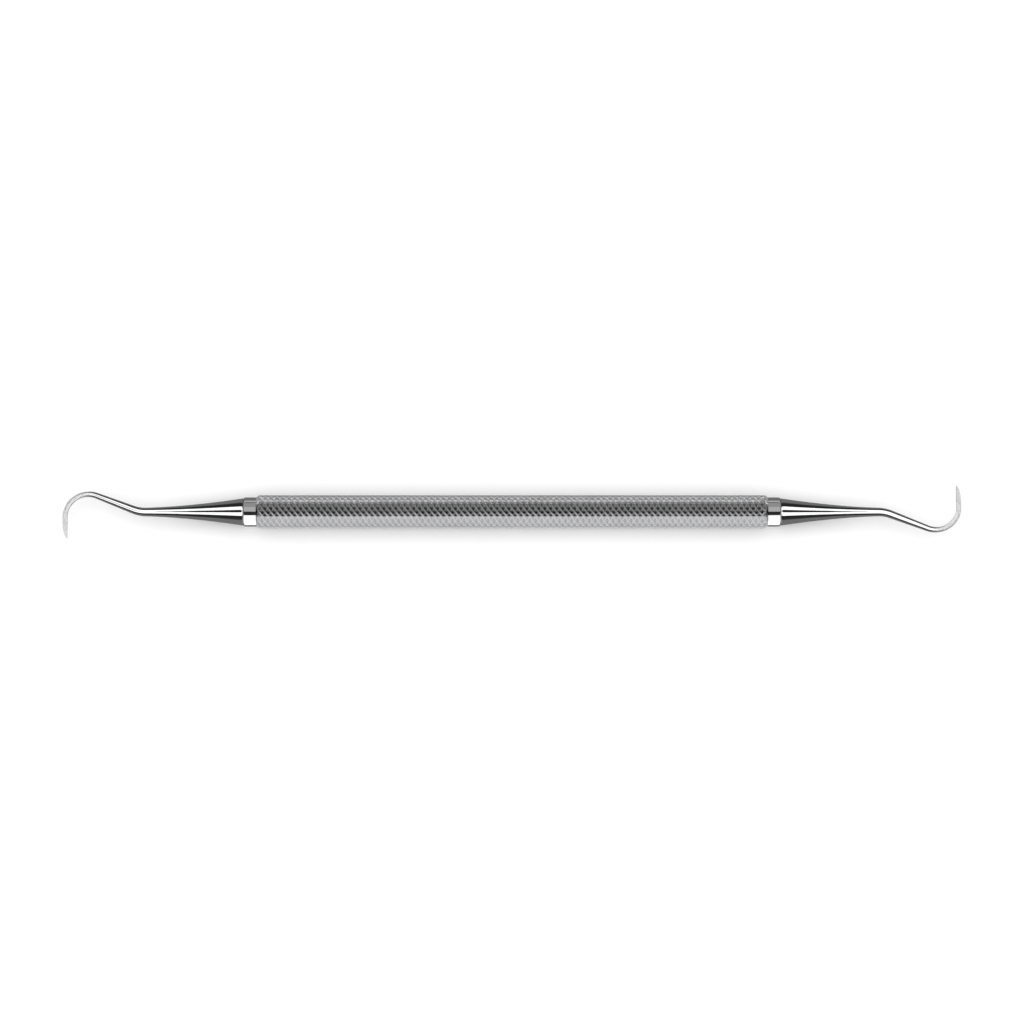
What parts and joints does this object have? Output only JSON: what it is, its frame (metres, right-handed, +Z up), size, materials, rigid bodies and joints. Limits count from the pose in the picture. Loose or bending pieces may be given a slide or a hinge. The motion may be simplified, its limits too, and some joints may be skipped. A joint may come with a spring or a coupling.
{
  "type": "hand scaler",
  "caption": "Slim double-ended dental hand scaler: octagonal diamond-knurled handle with a hooked sickle blade on a flared cone screwed into each end.",
  "frame": {"origin": "on the surface that the scaler lies on, under the middle of its handle", "axes": "+X along the handle towards the right working end, +Y level, the way the right hook points, +Z up; the scaler lies on one flat of its handle"},
  "size_m": [0.1742, 0.0106, 0.0063],
  "materials": {
    "knurled_steel": "bright diamond knurl, flat-topped",
    "polished_steel": "mirror-polished stainless steel, blade honed to a fine matt",
    "seal_rubber": "matt pale grey silicone"
  },
  "bodies": {
    "handle": {"handle_tube": "knurled_steel", "left_end_collar": "polished_steel", "right_end_collar": "polished_steel"},
    "left_seal": {"left_seal_ring": "seal_rubber"},
    "left_end": {"left_working_end": "polished_steel"},
    "right_seal": {"right_seal_ring": "seal_rubber"},
    "right_end": {"right_working_end": "polished_steel"}
  },
  "joints": [
    {"name": "left_end_travel", "type": "slide", "parent": "handle", "child": "left_seal", "axis": [-1, 0, 0], "range_m": [0, 0.00413]},
    {"name": "left_end_turn", "type": "hinge", "parent": "left_seal", "child": "left_end", "pos_m": [-0.05204, 0, 0.00317], "axis": [-1, 0, 0], "range_deg": [0, 2974]},
    {"name": "right_end_travel", "type": "slide", "parent": "handle", "child": "right_seal", "axis": [1, 0, 0], "range_m": [0, 0.00413]},
    {"name": "right_end_turn", "type": "hinge", "parent": "right_seal", "child": "right_end", "pos_m": [0.05204, 0, 0.00317], "axis": [1, 0, 0], "range_deg": [0, 2974]}
  ],
  "couplings": [
    {"joint": "left_end_turn", "follows": "left_end_travel", "rad_per_m": 12566},
    {"joint": "right_end_turn", "follows": "right_end_travel", "rad_per_m": 12566}
  ]
}
